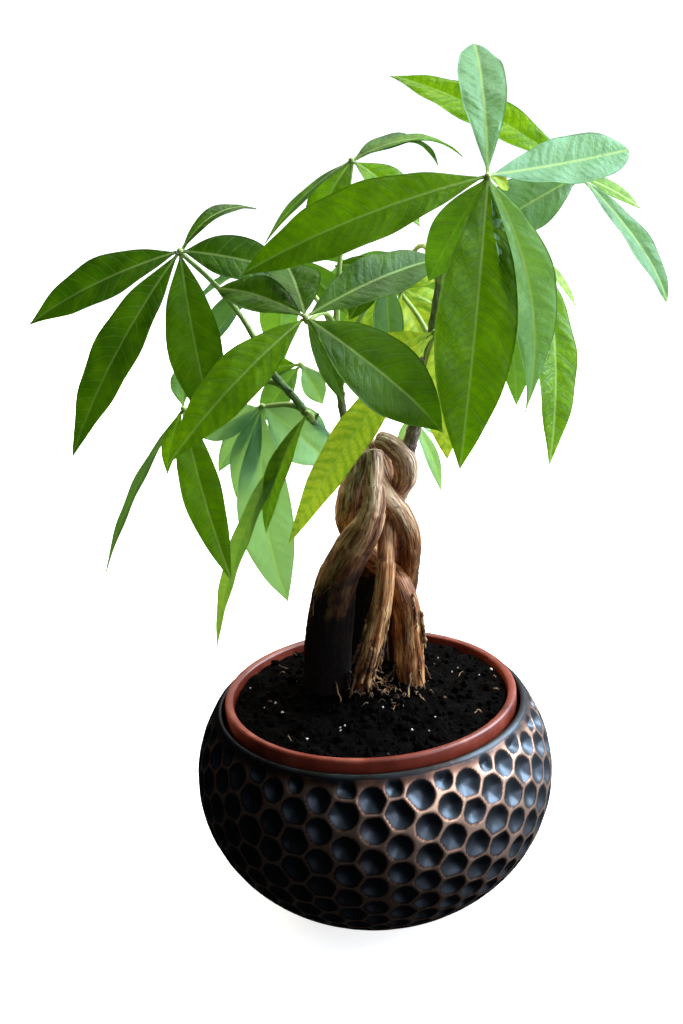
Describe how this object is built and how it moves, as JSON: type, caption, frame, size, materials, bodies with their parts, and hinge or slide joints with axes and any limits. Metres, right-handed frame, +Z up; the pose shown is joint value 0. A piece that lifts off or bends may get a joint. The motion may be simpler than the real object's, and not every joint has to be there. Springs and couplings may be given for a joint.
{
  "type": "potted money tree",
  "caption": "Braided money tree with palmate leaves, in a plastic nursery pot of soil that stands inside a round hammered copper bowl.",
  "frame": {"origin": "centre of the outer pot's flat base, on the surface it stands on", "axes": "+Z up along the pot's axis, -Y towards the plant's front"},
  "size_m": [0.3032, 0.2419, 0.4245],
  "materials": {
    "bowl_metal": "hammered, dark bronze with rubbed copper ridges",
    "pot_plastic": "smooth terracotta plastic",
    "potting_soil": "damp, loose and dark",
    "bark": "rough fibrous bark",
    "leaf": "glossy green"
  },
  "bodies": {
    "root": {"outer_pot": "bowl_metal", "inner_pot": "pot_plastic", "soil": "potting_soil", "seedling_front": "bark", "seedling_loop": "bark", "seedling_right": "bark", "seedling_left": "bark", "seedling_back": "bark", "leaf_right_top": "leaf", "leaf_left_top": "leaf", "leaf_front": "leaf", "leaf_crown": "leaf", "leaf_right_high": "leaf", "leaf_right_low": "leaf", "leaf_left_low": "leaf", "leaf_front_low": "leaf", "leaf_left_mid": "leaf", "leaf_middle_low": "leaf", "leaf_middle_back": "leaf", "leaf_middle": "leaf", "leaf_small_low": "leaf", "leaf_small_left": "leaf", "leaf_back_left": "leaf", "leaf_back": "leaf", "leaf_back_right": "leaf"}
  },
  "joints": []
}
